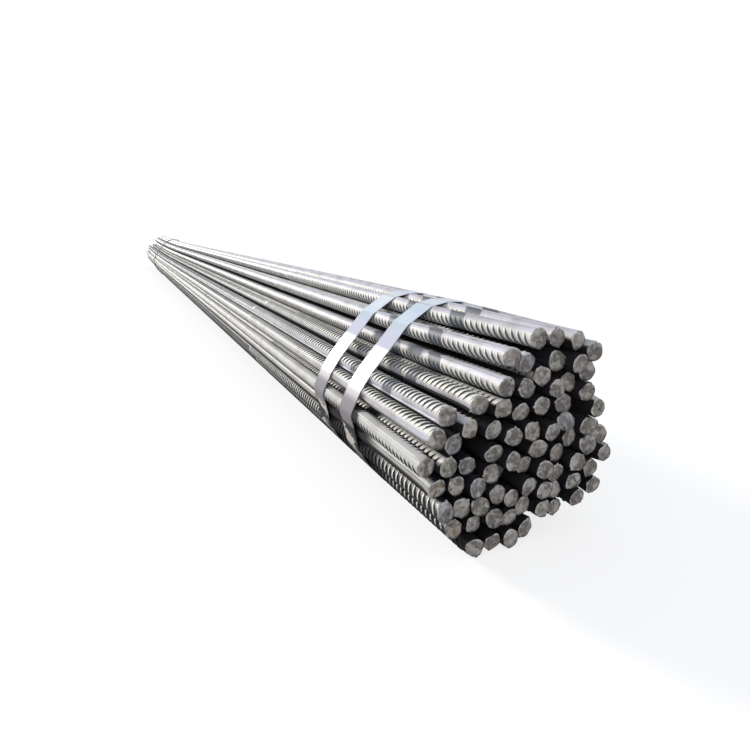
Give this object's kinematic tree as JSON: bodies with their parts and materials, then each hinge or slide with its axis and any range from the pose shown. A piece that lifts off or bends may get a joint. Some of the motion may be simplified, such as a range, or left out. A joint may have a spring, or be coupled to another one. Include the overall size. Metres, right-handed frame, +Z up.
{
  "type": "rebar bundle",
  "caption": "Strapped round bundle of straight ribbed steel reinforcing bars with cut ends, two flat steel straps near one end and a wire tie near the other.",
  "frame": {"origin": "on the floor under the middle of the bundle", "axes": "+Y along the bars from the strapped end towards the tied end, +Z up"},
  "size_m": [0.3024, 6.0404, 0.3112],
  "materials": {
    "bar_steel": "as-rolled grey steel with thin mill scale, sheared ends",
    "strap_steel": "bright cold-rolled strip",
    "wire_steel": "dark annealed wire"
  },
  "bodies": {
    "root": {"bar_layer_01": "bar_steel", "bar_layer_02": "bar_steel", "bar_layer_03": "bar_steel", "bar_layer_04": "bar_steel", "bar_layer_05": "bar_steel", "bar_layer_06": "bar_steel", "bar_layer_07": "bar_steel", "bar_layer_08": "bar_steel", "bar_layer_09": "bar_steel", "bar_layer_10": "bar_steel", "strap_outer": "strap_steel", "strap_inner": "strap_steel", "tie_wire": "wire_steel"}
  },
  "joints": []
}
